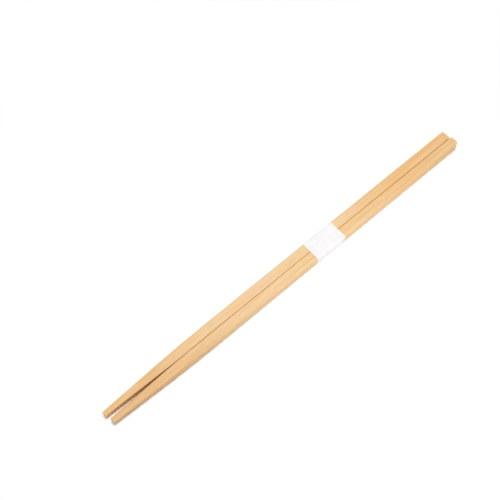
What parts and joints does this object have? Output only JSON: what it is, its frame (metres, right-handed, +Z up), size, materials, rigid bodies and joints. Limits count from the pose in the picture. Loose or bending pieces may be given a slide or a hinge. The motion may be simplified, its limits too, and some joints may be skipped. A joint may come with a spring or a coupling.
{
  "type": "pair of bamboo chopsticks",
  "caption": "Slim bamboo chopsticks with a rounded square section and tapered tips, lying side by side and held together by a plain white paper band, for eating.",
  "frame": {"origin": "middle of the pair's footprint, on the table that it lies on", "axes": "+X along the sticks from the tips to the head ends, +Y towards the left stick, +Z up"},
  "size_m": [0.211, 0.01, 0.0054],
  "materials": {
    "bamboo": "sanded, unvarnished",
    "white_paper": "matte"
  },
  "bodies": {
    "root": {"left_stick": "bamboo", "right_stick": "bamboo", "paper_band": "white_paper"}
  },
  "joints": []
}
